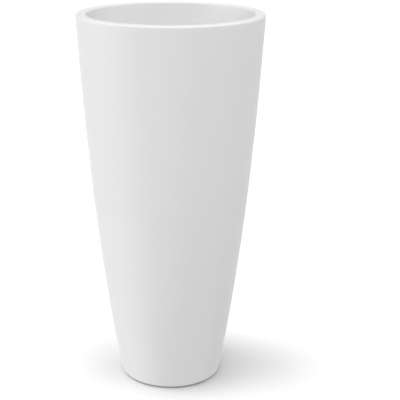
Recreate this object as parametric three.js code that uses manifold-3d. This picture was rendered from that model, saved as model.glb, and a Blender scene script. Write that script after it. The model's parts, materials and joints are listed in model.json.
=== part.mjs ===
// A tall round tapered floor planter in glass-fibre laminate, with a lift-out liner pot hung in its
// mouth. Millimetres, +Z up. The origin is on the floor under the planter's axis; the front faces -Y.

import * as THREE from "three";
import { mergeVertices } from "three/addons/utils/BufferGeometryUtils.js";
import Module from "manifold-3d";

const wasm = await Module();
wasm.setup();

// ---- Driving dimensions: millimetres, and degrees where a name says lean, draft or taper ----

// Shell: one moulding, with a flat lip, a return turned down inside the mouth and a recessed base
const planterHeight = 1000;
const rimRadius = 242.5;
const baseRadius = 138.7;
const rimLean = 3;
const baseLean = 10;
const shellWall = 5;
const lipWidth = 27;
const lipEdgeRadius = 4;
const returnDepth = 85;
const returnDraft = 1.5;
const baseEdgeRadius = 4;
const footRingWidth = 18;
const recessDepth = 12;
const recessDraft = 10;

// Ledge: an angle-section ring laminated round the return, which carries the liner
const ledgeThickness = 4;
const ledgeLegHeight = 40;
const ledgeRivetGap = 1;

// Base board, and the clearances of everything that seats on or passes through something
const boardThickness = 15;
const boardEdgeGap = 3;
const seatGap = 0.3;
const boreGap = 0.3;

// Drain: a flanged tube through the base, clamped by a nut over a rubber seal, and its bung
const drainBoreRadius = 12;
const drainTubeWall = 3;
const drainTubeBelowNut = 1.2;
const drainFlangeWidth = 9;
const drainFlangeThickness = 4;
const drainSealThickness = 2;
const drainNutThickness = 7;
const drainNutCornerRadius = 25;
const bungDepth = 24;
const bungTaper = 1.5;
const bungHeadOverlap = 5;
const bungHeadThickness = 4;
const bungLoopRadius = 9;
const bungLoopThickness = 5;
const bungLoopSunk = 1.2;

// Feet: rubber pads in the recess, each held by one screw into the base board
const footProud = 2;
const footRadius = 16;
const footChamfer = 2;
const footRecessGap = 8;
const footCounterboreDepth = 8;
const footScrewRadius = 2.2;
const footScrewLength = 22;
const footScrewHeadRadius = 5;
const footScrewHeadHeight = 3.2;
const footScrewCrownRadius = 3;
const footCounterboreGap = 1.2;

// Liner pot, hung by its flange
const linerDepth = 430;
const linerWall = 3;
const linerDraft = 3.7;
const linerFlangeGap = 1.5;
const linerMouthMargin = 2;
const linerFootHeight = 6;
const linerFootWidth = 12;
const linerEdgeRadius = 5;
const linerHoleRadius = 6;
const linerHoleCount = 8;
const linerHoleInset = 45;

// Bails: two half-round wire handles that lie on the liner's flange
const wireRadius = 2.5;
const wireInset = 6;
const wireBendRadius = 4;
const pivotSpread = 12;
const pinProud = 2;

// Saddles: bent strips riveted to the flange over the ends of both bails
const saddleWidth = 8;
const saddleThickness = 1.5;
const saddleFootLength = 11;
const rivetRadius = 1.6;
const rivetHeadRadius = 3.2;
const rivetHeadHeight = 1.6;
const rivetShoulderRadius = 2.2;
const rivetShoulderHeight = 1.2;
const rivetTailRadius = 2.6;
const rivetTailHeight = 1.4;

// How finely round shapes are faceted
const shellFacets = 64;
const ringFacets = 48;
const smallFacets = 16;
const drainFacets = 24;
const fastenerFacets = 10;
const wireFacets = 8;
const bendSteps = 3;
const bailSteps = 36;
const archSteps = 8;

// How far a cutting cylinder runs past the faces it cuts
const cutMargin = 1;

// ---- Levels and radii that follow from the driving dimensions ----

const radians = THREE.MathUtils.degToRad;
const shellBottom = footProud;
const recessCeiling = shellBottom + recessDepth;
const shellFloor = recessCeiling + shellWall;
const recessRadius = baseRadius - footRingWidth;
const boardBottom = shellFloor + seatGap;
const boardTop = boardBottom + boardThickness;

const drainTubeRadius = drainBoreRadius + drainTubeWall;
const drainFlangeRadius = drainTubeRadius + drainFlangeWidth;
const drainHoleRadius = drainTubeRadius + boreGap;
const sealBottom = boardTop + seatGap;
const drainFlangeBottom = sealBottom + drainSealThickness + seatGap;
const drainFlangeTop = drainFlangeBottom + drainFlangeThickness;
const drainNutTop = recessCeiling - seatGap;

const footCircleRadius = recessRadius - footRecessGap - footRadius;
const footScrewHoleRadius = footScrewRadius + boreGap;

const returnBottom = planterHeight - returnDepth;
const ledgeTop = returnBottom - seatGap;
const flangeBottom = ledgeTop + seatGap;
const flangeTop = flangeBottom + linerWall;
const flangeRadius = returnRadius(flangeTop) - linerFlangeGap;

const wireLevel = flangeTop + seatGap + wireRadius;
const wireArcRadius = flangeRadius - wireInset;
const wireCornerX = Math.sqrt(wireArcRadius ** 2 - pivotSpread ** 2);
const saddleX = wireCornerX - wireBendRadius - saddleWidth / 2;
const pinEndX = saddleX - saddleWidth / 2 - pinProud;
const archInnerRadius = wireRadius + boreGap;
const archOuterRadius = archInnerRadius + saddleThickness;
const saddleEndY = pivotSpread + archOuterRadius + saddleFootLength;
const outerRivetY = pivotSpread + archOuterRadius + saddleFootLength / 2;

const linerMouthRadius = pinEndX - linerMouthMargin;
const linerBottom = flangeTop - linerDepth;
const ledgeInnerRadius = Math.hypot(saddleX + rivetTailRadius, outerRivetY) + ledgeRivetGap;

// The wall's outer radius at a height: a cubic from rim to floor with the stated lean at each end.
function wallRadius(z) {
  const t = (planterHeight - z) / planterHeight;
  const rimSlope = -planterHeight * Math.tan(radians(rimLean));
  const baseSlope = -planterHeight * Math.tan(radians(baseLean));
  return rimRadius * (2 * t ** 3 - 3 * t ** 2 + 1) + rimSlope * (t ** 3 - 2 * t ** 2 + t)
    + baseRadius * (3 * t ** 2 - 2 * t ** 3) + baseSlope * (t ** 3 - t ** 2);
}

// The radius of the return's inner face at a height. It narrows downwards by the mould's draft.
function returnRadius(z) {
  return rimRadius - lipWidth - (planterHeight - z) * Math.tan(radians(returnDraft));
}

// The liner's outer radius at a height below its flange.
function linerRadius(z) {
  return linerMouthRadius + linerWall - (flangeBottom - z) * Math.tan(radians(linerDraft));
}

// ---- Profiles and solids ----

// Points of an arc in the radius-height plane, from one angle to another in degrees.
function arc(centreR, centreZ, radius, fromAngle, toAngle, steps) {
  return Array.from({ length: steps + 1 }, (_, i) => {
    const angle = radians(fromAngle + (toAngle - fromAngle) * i / steps);
    return [centreR + radius * Math.cos(angle), centreZ + radius * Math.sin(angle)];
  });
}

// Points along a wall whose radius is a function of height.
function wallPoints(radiusAt, fromZ, toZ, steps) {
  return Array.from({ length: steps + 1 }, (_, i) => {
    const z = fromZ + (toZ - fromZ) * i / steps;
    return [radiusAt(z), z];
  });
}

// A solid of revolution about Z. The profile runs anticlockwise, radius to the right and height up.
// It starts and ends on the axis, or closes on itself where closeProfile is true.
function turned(profile, facets, closeProfile = false) {
  const loop = closeProfile ? [...profile, profile[0]] : profile;
  const points = loop.map(([r, z]) => new THREE.Vector2(r, z));
  return new THREE.LatheGeometry(points, facets).rotateX(Math.PI / 2);
}

// An upright cylinder between two heights, used for cutting holes.
function upright(radius, bottom, top, facets, x = 0, y = 0) {
  const cylinder = new THREE.CylinderGeometry(radius, radius, top - bottom, facets);
  return cylinder.rotateX(Math.PI / 2).translate(x, y, (top + bottom) / 2);
}

// A closed mesh as a solid: vertices are merged and triangles with two equal corners left out.
function solidOf(geometry) {
  const bare = geometry.clone();
  bare.deleteAttribute("normal");
  bare.deleteAttribute("uv");
  const merged = mergeVertices(bare, 1e-3);
  const corners = merged.index.array;
  const kept = [];
  for (let i = 0; i < corners.length; i += 3) {
    const [a, b, c] = corners.slice(i, i + 3);
    if (a !== b && b !== c && c !== a) kept.push(a, b, c);
  }
  const vertProperties = merged.attributes.position.array;
  const triVerts = new Uint32Array(kept);
  return new wasm.Manifold(new wasm.Mesh({ numProp: 3, vertProperties, triVerts }));
}

function geometryOf(solid) {
  const mesh = solid.getMesh();
  const geometry = new THREE.BufferGeometry();
  geometry.setAttribute("position", new THREE.BufferAttribute(mesh.vertProperties, 3));
  geometry.setIndex(new THREE.BufferAttribute(mesh.triVerts, 1));
  const faceted = geometry.toNonIndexed();
  faceted.computeVertexNormals();
  return faceted;
}

function cut(geometry, tools) {
  return geometryOf(tools.reduce((body, tool) => body.subtract(solidOf(tool)), solidOf(geometry)));
}

function join(first, second) {
  return geometryOf(solidOf(first).add(solidOf(second)));
}

// ---- Materials ----

const finish = (color, roughness, metalness = 0) =>
  new THREE.MeshStandardMaterial({ color, roughness, metalness, flatShading: true });

const gelcoat = finish(0xf1f1f0, 0.42);
const laminate = finish(0xc9c8b8, 0.6);
const plywood = finish(0xb98f5f, 0.75);
const blackPlastic = finish(0x26272a, 0.5);
const rubber = finish(0x1c1c1d, 0.85);
const linerPlastic = finish(0xe3e3e0, 0.5);
const zincSteel = finish(0xb4b8bb, 0.38, 0.9);
const aluminium = finish(0xc9cbcd, 0.35, 0.9);

// ---- The planter ----

const planter = new THREE.Group();
const liner = new THREE.Group();
planter.add(liner);

function place(group, name, geometry, material, x = 0, y = 0) {
  const mesh = new THREE.Mesh(geometry, material);
  mesh.name = name;
  mesh.position.set(x, y, 0);
  group.add(mesh);
}

const feet = [
  { name: "front_left", x: -1, y: -1 },
  { name: "front_right", x: 1, y: -1 },
  { name: "back_left", x: -1, y: 1 },
  { name: "back_right", x: 1, y: 1 },
].map(({ name, x, y }) => {
  const reach = footCircleRadius * Math.SQRT1_2;
  return { name, x: x * reach, y: y * reach };
});

const screwHoles = (bottom, top) =>
  feet.map(({ x, y }) => upright(footScrewHoleRadius, bottom, top, fastenerFacets, x, y));

// Outer shell: underside, foot ring, base edge, wall, lip, return, and back down the inside.
function shellGeometry() {
  const edgeStart = shellBottom + baseEdgeRadius * (1 - Math.sin(radians(baseLean)));
  const edgeCentreR = wallRadius(edgeStart) - baseEdgeRadius * Math.cos(radians(baseLean));
  const lipEdgeZ = planterHeight - lipEdgeRadius;
  const lipUnderside = planterHeight - shellWall;
  const innerRadius = (z) => wallRadius(z) - shellWall;
  const recessTopRadius = recessRadius - recessDepth * Math.tan(radians(recessDraft));
  const profile = [
    [drainHoleRadius, recessCeiling],
    [recessTopRadius, recessCeiling],
    [recessRadius, shellBottom],
    ...arc(edgeCentreR, shellBottom + baseEdgeRadius, baseEdgeRadius, -90, -baseLean, 4),
    ...wallPoints(wallRadius, edgeStart, lipEdgeZ, 10).slice(1),
    ...arc(wallRadius(lipEdgeZ) - lipEdgeRadius, lipEdgeZ, lipEdgeRadius, 0, 90, 3).slice(1),
    ...arc(returnRadius(lipEdgeZ) + lipEdgeRadius, lipEdgeZ, lipEdgeRadius, 90, 180, 3),
    [returnRadius(returnBottom), returnBottom],
    [returnRadius(returnBottom) + shellWall, returnBottom],
    [returnRadius(lipUnderside) + shellWall, lipUnderside],
    ...wallPoints(innerRadius, lipUnderside, shellFloor, 8),
    [drainHoleRadius, shellFloor],
  ];
  const holes = screwHoles(recessCeiling - cutMargin, shellFloor + cutMargin);
  return cut(turned(profile, shellFacets, true), holes);
}
place(planter, "outer_shell", shellGeometry(), gelcoat);

// Liner ledge: an upright leg round the outside of the return, and a flat leg under the liner.
function ledgeGeometry() {
  const legTop = ledgeTop + ledgeLegHeight;
  const ledgeBottom = ledgeTop - ledgeThickness;
  const legInner = (z) => returnRadius(z) + shellWall + seatGap;
  return turned([
    [ledgeInnerRadius, ledgeBottom],
    [legInner(ledgeBottom) + ledgeThickness, ledgeBottom],
    [legInner(legTop) + ledgeThickness, legTop],
    [legInner(legTop), legTop],
    [legInner(ledgeTop), ledgeTop],
    [ledgeInnerRadius, ledgeTop],
  ], shellFacets, true);
}
place(planter, "liner_ledge", ledgeGeometry(), laminate);

// Base board: a plywood disc on the shell's floor, with the drain hole and blind screw holes.
const screwHeadBottom = footCounterboreDepth - seatGap - footScrewHeadHeight;
const screwTip = screwHeadBottom + footScrewHeadHeight + footScrewLength;
function boardGeometry() {
  const boardRadius = wallRadius(boardBottom) - shellWall - boardEdgeGap;
  const disc = turned([
    [drainHoleRadius, boardBottom],
    [boardRadius, boardBottom],
    [boardRadius, boardTop],
    [drainHoleRadius, boardTop],
  ], ringFacets, true);
  return cut(disc, screwHoles(boardBottom - cutMargin, screwTip + boreGap));
}
place(planter, "base_board", boardGeometry(), plywood);

// Drain: the flanged bush from above, the rubber seal under its flange and the nut from below.
place(planter, "drain_bush", turned([
  [drainBoreRadius, drainNutTop - drainNutThickness - drainTubeBelowNut],
  [drainTubeRadius, drainNutTop - drainNutThickness - drainTubeBelowNut],
  [drainTubeRadius, drainFlangeBottom],
  [drainFlangeRadius, drainFlangeBottom],
  [drainFlangeRadius, drainFlangeTop],
  [drainBoreRadius, drainFlangeTop],
], drainFacets, true), blackPlastic);

place(planter, "drain_seal", turned([
  [drainHoleRadius, sealBottom],
  [drainFlangeRadius, sealBottom],
  [drainFlangeRadius, sealBottom + drainSealThickness],
  [drainHoleRadius, sealBottom + drainSealThickness],
], drainFacets, true), rubber);

function nutGeometry() {
  const bottom = drainNutTop - drainNutThickness;
  const hexagon = upright(drainNutCornerRadius, bottom, drainNutTop, 6);
  const bore = upright(drainHoleRadius, bottom - cutMargin, drainNutTop + cutMargin, drainFacets);
  return cut(hexagon, [bore]);
}
place(planter, "drain_nut", nutGeometry(), blackPlastic);

// Bung: a tapered rubber plug with a head that seats on the bush's flange, and an upright pull loop.
function bungGeometry() {
  const headBottom = drainFlangeTop + seatGap;
  const headTop = headBottom + bungHeadThickness;
  const headRadius = drainBoreRadius + bungHeadOverlap;
  const plugRadius = drainBoreRadius - boreGap;
  const plugTipRadius = plugRadius - bungDepth * Math.tan(radians(bungTaper));
  const plug = turned([
    [0, headBottom - bungDepth],
    [plugTipRadius, headBottom - bungDepth],
    [plugRadius, headBottom],
    [headRadius, headBottom],
    [headRadius, headTop],
    [0, headTop],
  ], drainFacets);
  const loop = new THREE.TorusGeometry(bungLoopRadius, bungLoopThickness / 2, 8, 20);
  loop.rotateX(Math.PI / 2).translate(0, 0, headTop + bungLoopRadius - bungLoopSunk);
  return join(plug, loop);
}
place(planter, "drain_bung", bungGeometry(), rubber);

// Feet and their screws. A foot fills the recess and stands proud of the foot ring.
const counterboreRadius = footScrewHeadRadius + footCounterboreGap;
const footGeometry = turned([
  [counterboreRadius, 0],
  [footRadius - footChamfer, 0],
  [footRadius, footChamfer],
  [footRadius, recessCeiling - seatGap],
  [footScrewHoleRadius, recessCeiling - seatGap],
  [footScrewHoleRadius, footCounterboreDepth],
  [counterboreRadius, footCounterboreDepth],
], smallFacets, true);

const screwGeometry = turned([
  [0, screwHeadBottom],
  [footScrewCrownRadius, screwHeadBottom],
  [footScrewHeadRadius, screwHeadBottom + footScrewHeadHeight / 2],
  [footScrewHeadRadius, screwHeadBottom + footScrewHeadHeight],
  [footScrewRadius, screwHeadBottom + footScrewHeadHeight],
  [footScrewRadius, screwTip - 2 * footScrewRadius],
  [0, screwTip],
], fastenerFacets);

for (const { name, x, y } of feet) {
  place(planter, `foot_${name}`, footGeometry, rubber, x, y);
  place(planter, `foot_screw_${name}`, screwGeometry, zincSteel, x, y);
}

// Liner pot: flange, tapered wall, floor with drain holes, and a foot ring to stand on when it is out.
const rivetPlaces = [-outerRivetY, 0, outerRivetY];
const rivetHoleRadius = rivetRadius + boreGap;
function linerGeometry() {
  const floorUnderside = linerBottom + linerFootHeight;
  const floorTop = floorUnderside + linerWall;
  const footInner = linerRadius(linerBottom) - linerFootWidth;
  const edgeCentreR = linerRadius(linerBottom + linerEdgeRadius) - linerEdgeRadius;
  const innerRadius = (z) => linerRadius(z) - linerWall;
  const pot = turned([
    [0, floorUnderside],
    [footInner, floorUnderside],
    [footInner, linerBottom],
    ...arc(edgeCentreR, linerBottom + linerEdgeRadius, linerEdgeRadius, -90, 0, 3),
    [linerRadius(flangeBottom), flangeBottom],
    [flangeRadius, flangeBottom],
    [flangeRadius, flangeTop],
    [linerMouthRadius, flangeTop],
    [innerRadius(floorTop), floorTop],
    [0, floorTop],
  ], shellFacets);
  const holeCircle = linerRadius(linerBottom) - linerHoleInset;
  const drainHoles = Array.from({ length: linerHoleCount }, (_, i) => {
    const angle = 2 * Math.PI * i / linerHoleCount;
    const [x, y] = [holeCircle * Math.cos(angle), holeCircle * Math.sin(angle)];
    return upright(linerHoleRadius, floorUnderside - cutMargin, floorTop + cutMargin, smallFacets, x, y);
  });
  const rivetHoles = [-saddleX, saddleX].flatMap((x) => rivetPlaces.map((y) =>
    upright(rivetHoleRadius, flangeBottom - cutMargin, flangeTop + cutMargin, fastenerFacets, x, y)));
  return cut(pot, [...drainHoles, ...rivetHoles]);
}
place(liner, "liner_pot", linerGeometry(), linerPlastic);

// The path of a bail: pin, bend, arc, bend, pin. Each stretch has a number of steps of its own,
// so that the short bends stay round.
class BailPath extends THREE.Curve {
  constructor(side) {
    super();
    const y = side * pivotSpread;
    const bendAngle = wireBendRadius / wireArcRadius;
    const endAngle = Math.asin(pivotSpread / wireArcRadius) + bendAngle;
    const arcPoint = (angle) => new THREE.Vector3(
      wireArcRadius * Math.cos(angle), side * wireArcRadius * Math.sin(angle), wireLevel);
    const onPivot = (x) => new THREE.Vector3(x, y, wireLevel);
    const bendX = wireCornerX - wireBendRadius;
    const halfRound = new THREE.Curve();
    halfRound.getPoint = (t) => arcPoint(Math.PI - endAngle - t * (Math.PI - 2 * endAngle));
    const [arcStart, arcEnd] = [halfRound.getPoint(0), halfRound.getPoint(1)];
    const bend = (from, corner, to) => new THREE.QuadraticBezierCurve3(from, corner, to);
    this.stretches = [
      { curve: new THREE.LineCurve3(onPivot(-pinEndX), onPivot(-bendX)), steps: 1 },
      { curve: bend(onPivot(-bendX), onPivot(-wireCornerX), arcStart), steps: bendSteps },
      { curve: halfRound, steps: bailSteps },
      { curve: bend(arcEnd, onPivot(wireCornerX), onPivot(bendX)), steps: bendSteps },
      { curve: new THREE.LineCurve3(onPivot(bendX), onPivot(pinEndX)), steps: 1 },
    ];
    this.steps = this.stretches.reduce((sum, stretch) => sum + stretch.steps, 0);
  }

  getPoint(t) {
    let step = t * this.steps;
    for (const { curve, steps } of this.stretches) {
      if (step <= steps) return curve.getPoint(Math.max(step, 0) / steps);
      step -= steps;
    }
    return this.stretches.at(-1).curve.getPoint(1);
  }

  getUtoTmapping(u) {
    return u;
  }
}

function bailGeometry(side) {
  const path = new BailPath(side);
  const section = new THREE.Shape(Array.from({ length: wireFacets }, (_, i) => {
    const angle = Math.PI * (2 * i + 1) / wireFacets;
    return new THREE.Vector2(wireRadius * Math.cos(angle), wireRadius * Math.sin(angle));
  }));
  return new THREE.ExtrudeGeometry(section, { steps: path.steps, extrudePath: path });
}
place(liner, "handle_front", bailGeometry(-1), zincSteel);
place(liner, "handle_back", bailGeometry(1), zincSteel);

// Saddle: a strip bent into two arches over the pins, drawn in the Y-Z plane and extruded along X.
function saddleGeometry() {
  const bottom = flangeTop + seatGap;
  const top = bottom + saddleThickness;
  const archOver = (y, radius, level) => [
    [y - radius, level],
    ...arc(y, wireLevel, radius, 180, 0, archSteps),
    [y + radius, level],
  ];
  const underside = [
    [-saddleEndY, bottom],
    ...archOver(-pivotSpread, archInnerRadius, bottom),
    ...archOver(pivotSpread, archInnerRadius, bottom),
    [saddleEndY, bottom],
  ];
  const upside = [
    [-saddleEndY, top],
    ...archOver(-pivotSpread, archOuterRadius, top),
    ...archOver(pivotSpread, archOuterRadius, top),
    [saddleEndY, top],
  ];
  const outline = [...underside, ...upside.reverse()].map(([y, z]) => new THREE.Vector2(y, z));
  const extrusion = { depth: saddleWidth, bevelEnabled: false };
  const strip = new THREE.ExtrudeGeometry(new THREE.Shape(outline), extrusion);
  strip.rotateX(Math.PI / 2).rotateZ(Math.PI / 2).translate(-saddleWidth / 2, 0, 0);
  const holes = rivetPlaces.map((y) =>
    upright(rivetHoleRadius, bottom - cutMargin, top + cutMargin, fastenerFacets, 0, y));
  return cut(strip, holes);
}

// Rivet: a domed head on the strip, a shank through strip and flange, and a tail under the flange.
function rivetGeometry() {
  const headBottom = flangeTop + seatGap + saddleThickness + seatGap;
  const tailTop = flangeBottom - seatGap;
  return turned([
    [0, tailTop - rivetTailHeight],
    [rivetTailRadius, tailTop - rivetTailHeight],
    [rivetTailRadius, tailTop],
    [rivetRadius, tailTop],
    [rivetRadius, headBottom],
    [rivetHeadRadius, headBottom],
    [rivetShoulderRadius, headBottom + rivetShoulderHeight],
    [0, headBottom + rivetHeadHeight],
  ], fastenerFacets);
}

for (const [side, x] of [["left", -saddleX], ["right", saddleX]]) {
  place(liner, `handle_saddle_${side}`, saddleGeometry(), zincSteel, x);
  rivetPlaces.forEach((y, i) => {
    place(liner, `handle_rivet_${side}_${i + 1}`, rivetGeometry(), aluminium, x, y);
  });
}

export default planter;
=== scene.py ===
"""A tall tapered fibreglass floor planter with a lift-out liner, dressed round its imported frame.

Metres, +Z up, origin on the floor under the planter's axis, front towards -Y.
"""

import json
import math

import bpy
import numpy as np
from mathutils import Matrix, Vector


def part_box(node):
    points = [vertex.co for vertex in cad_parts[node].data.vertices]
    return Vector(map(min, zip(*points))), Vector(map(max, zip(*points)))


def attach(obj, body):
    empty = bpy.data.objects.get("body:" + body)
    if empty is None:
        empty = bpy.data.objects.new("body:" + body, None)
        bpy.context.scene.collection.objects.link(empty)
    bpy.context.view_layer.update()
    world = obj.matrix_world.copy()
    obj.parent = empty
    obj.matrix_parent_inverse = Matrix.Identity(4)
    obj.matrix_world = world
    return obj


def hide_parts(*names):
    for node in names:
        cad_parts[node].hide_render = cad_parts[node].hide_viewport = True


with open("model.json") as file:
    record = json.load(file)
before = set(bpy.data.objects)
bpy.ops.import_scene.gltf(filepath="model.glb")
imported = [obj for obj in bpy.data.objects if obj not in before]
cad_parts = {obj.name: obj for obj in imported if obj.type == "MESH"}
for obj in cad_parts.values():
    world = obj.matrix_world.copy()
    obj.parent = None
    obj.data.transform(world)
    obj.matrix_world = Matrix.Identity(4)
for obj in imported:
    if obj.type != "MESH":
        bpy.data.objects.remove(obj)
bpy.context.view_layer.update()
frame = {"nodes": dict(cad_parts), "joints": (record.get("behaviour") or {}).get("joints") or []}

nodes = frame["nodes"]
scene = bpy.context.scene

# ---- Camera ----
# The planter is seen from the front, from about a third of its height above the rim. The picture
# is shifted sideways, because the planter stands left of its middle.

CAMERA_DISTANCE = 2.457
CAMERA_HEIGHT = 1.3286
CAMERA_DIP = 18.706          # degrees below the horizon
CAMERA_LENS = 86.1           # millimetres, on a sensor 36 mm wide
CAMERA_SHIFT = 0.0734        # of the picture's width
CAMERA_REACH = 100.0

camera = bpy.data.objects.new("camera", bpy.data.cameras.new("camera"))
camera.location = (0, -CAMERA_DISTANCE, CAMERA_HEIGHT)
camera.rotation_euler = (math.radians(90 - CAMERA_DIP), 0, 0)
camera.data.lens = CAMERA_LENS
camera.data.shift_x = CAMERA_SHIFT
camera.data.clip_end = CAMERA_REACH
scene.collection.objects.link(camera)
scene.camera = camera

# ---- Outer shell ----
# One hand-laid glass-fibre moulding with a satin white gelcoat face: tapered wall, flat lip, a
# return turned down inside the mouth, and a base with a foot ring round a shallow recess. The
# gelcoat is sprayed into the mould first, and chopped strands are laid up behind it.

PLANTER_HEIGHT = 1.0
RIM_RADIUS = 0.2425
BASE_RADIUS = 0.1387
RIM_LEAN = 3.0               # degrees from upright
BASE_LEAN = 10.0
SHELL_WALL = 0.005
LIP_WIDTH = 0.027
LIP_EDGE = 0.004
RETURN_DEPTH = 0.085
RETURN_DRAFT = 1.5           # degrees from upright
RETURN_LOWER_EDGE = 0.001
BASE_EDGE = 0.004
FOOT_RING_WIDTH = 0.018
RECESS_DEPTH = 0.012
RECESS_DRAFT = 10.0
RECESS_EDGE = 0.003
SHELL_BOTTOM = 0.002
SEAT_GAP = 0.0003
DRAIN_HOLE_RADIUS = 0.0153
LIP_BACK_EDGE = 0.002
SHELL_SEGMENTS = 288
SHELL_ROW = 0.012
BASE_EDGE_STEPS = 10
WALL_ROWS = 90
LIP_EDGE_STEPS = 8
RETURN_ROWS = 12
BACK_ROWS = 40
ON_AXIS = 1e-9               # a radius below this is on the axis
SAME_POINT = 1e-7            # points nearer than this are one

RETURN_BOTTOM = PLANTER_HEIGHT - RETURN_DEPTH
RETURN_BACK_EDGE = RETURN_LOWER_EDGE * 0.8
GELCOAT_PALE = (0.895, 0.895, 0.895, 1)
GELCOAT_DULL = (0.865, 0.865, 0.865, 1)
# Dark colour for the lowest few millimetres of the gelcoat: painted shade where the base meets the
# floor.
GELCOAT_CONTACT_SHADE = (0.42, 0.42, 0.42, 1)
RESIN_DARK = (0.40, 0.385, 0.27, 1)
RESIN_PALE = (0.70, 0.695, 0.58, 1)
GELCOAT_ROUGHNESS = 0.46
CLOUD_SCALE = 5.0            # scales of noise are in cells a metre
SPECK_SCALE = 900.0
ORANGE_PEEL_SCALE = 260.0
ORANGE_PEEL_HEIGHT = 0.00002
RIPPLE_SCALE = 9.0
RIPPLE_HEIGHT = 0.0004
RESIN_ROUGHNESS = 0.32
STRAND_SCALE = 320.0
CROSSING_SCALE = 260.0
STRAND_FAINT = 0.38          # noise from which strands start to show, and show in full
STRAND_FULL = 0.64
STRAND_HEIGHT = 0.0003
CLUMP_SCALE = 38.0
CLUMP_HEIGHT = 0.0009


def slope(degrees):
    """How far a wall moves sideways for each metre of height: the tangent of its lean."""
    return math.tan(math.radians(degrees))


def wall_radius(z):
    """The wall's outer radius at a height: a cubic from rim to floor, with a set lean at each
    end. It is a sum of radius * blend and height * lean * blend for the rim and for the base."""
    t = (PLANTER_HEIGHT - z) / PLANTER_HEIGHT
    rim_part = RIM_RADIUS * (2 * t**3 - 3 * t**2 + 1)
    rim_bend = -PLANTER_HEIGHT * slope(RIM_LEAN) * (t**3 - 2 * t**2 + t)
    base_part = BASE_RADIUS * (3 * t**2 - 2 * t**3)
    base_bend = -PLANTER_HEIGHT * slope(BASE_LEAN) * (t**3 - t**2)
    return rim_part + rim_bend + base_part + base_bend


def return_radius(z):
    """The radius of the return's inner face at a height: a straight line with the mould's draft."""
    return RIM_RADIUS - LIP_WIDTH - (PLANTER_HEIGHT - z) * slope(RETURN_DRAFT)


def arc(centre, radius, start, end, steps):
    """Points of a circular arc between two angles in degrees: centre + radius * (cos, sin)."""
    angle = np.radians(np.linspace(start, end, steps + 1))
    return np.array(centre) + radius * np.column_stack([np.cos(angle), np.sin(angle)])


def rounded(corners, steps=5):
    """A polyline with its corners rounded. Each corner is (r, z) or (r, z, radius): its two sides
    are cut back by radius * tan(turn / 2), and an arc tangent to both joins them."""
    corners = np.array([(*corner, 0.0)[:3] for corner in corners])
    points, radius = corners[:, :2], corners[1:-1, 2:]
    way = np.diff(points, axis=0)
    way /= np.linalg.norm(way, axis=1, keepdims=True)
    way_in, way_out = way[:-1], way[1:]
    left = np.column_stack([-way_in[:, 1], way_in[:, 0]])
    turn = np.arctan2((left * way_out).sum(axis=1), (way_in * way_out).sum(axis=1))[:, None]
    to_centre = np.sign(turn) * left
    centre = points[1:-1] - radius * np.tan(np.abs(turn) / 2) * way_in + radius * to_centre
    angle = (turn * np.linspace(0, 1, steps + 1))[..., None]
    start = -to_centre[:, None]
    square_to_start = np.stack([-start[..., 1], start[..., 0]], axis=-1)
    around = np.cos(angle) * start + np.sin(angle) * square_to_start
    arcs = centre[:, None] + radius[:, None] * around
    outline = np.vstack([points[:1], arcs.reshape(-1, 2), points[-1:]])
    apart = np.linalg.norm(np.diff(outline, axis=0), axis=1) > SAME_POINT
    return outline[np.append(True, apart)]


def with_rows(outline, spacing):
    """The same outline with more points along its long stretches, about spacing apart: both
    coordinates are read off at equal steps of the length along it."""
    reach = np.append(0, np.cumsum(np.linalg.norm(np.diff(outline, axis=0), axis=1)))
    extra = np.arange(spacing, reach[-1], spacing)
    clear = np.abs(extra[:, None] - reach).min(axis=1) > spacing / 4
    at = np.sort(np.concatenate([reach, extra[clear]]))
    return np.column_stack([np.interp(at, reach, outline[:, axis]) for axis in (0, 1)])


def grid_faces(rows, columns, closed_rows, closed_columns):
    """Four-sided faces of a grid of vertices numbered row by row, one row of numbers a face."""
    row = np.arange(rows if closed_rows else rows - 1)
    column = np.arange(columns if closed_columns else columns - 1)
    r, c = [side.ravel() for side in np.meshgrid(row, column, indexing="ij")]
    r2, c2 = (r + 1) % rows, (c + 1) % columns
    return np.column_stack([r * columns + c, r * columns + c2, r2 * columns + c2, r2 * columns + c])


def turned(profile, segments, centre=(0.0, 0.0), squeeze=None):
    """A profile turned about the upright axis at centre: radius r at turn a lies at
    (r cos a, r sin a). The profile runs anticlockwise, radius to the right and height up. Where it
    starts and ends on the axis, each end is one vertex with a fan of triangles. Otherwise it is a
    loop, and the surface closes on itself. squeeze(r, a) may change the radii."""
    profile = np.asarray(profile, float)
    loop = profile[0, 0] > ON_AXIS
    rings = profile if loop else profile[1:-1]
    turn = np.linspace(0, 2 * np.pi, segments, endpoint=False)
    radius = np.repeat(rings[:, :1], segments, axis=1)
    if squeeze is not None:
        radius = squeeze(radius, turn)
    level = np.repeat(rings[:, 1:], segments, axis=1)
    points = np.stack([radius * np.cos(turn), radius * np.sin(turn), level], axis=-1).reshape(-1, 3)
    faces = [grid_faces(len(rings), segments, loop, True)]
    if not loop:
        bottom_pole, top_pole = len(points), len(points) + 1
        first = np.arange(segments)
        following = (first + 1) % segments
        last_ring = bottom_pole - segments
        faces.append(np.column_stack([np.full(segments, bottom_pole), following, first]))
        faces.append(np.column_stack([np.full(segments, top_pole), last_ring + first,
                                      last_ring + following]))
        points = np.vstack([points, [[0, 0, profile[0, 1]], [0, 0, profile[-1, 1]]]])
    return points + [*centre, 0], faces


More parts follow.
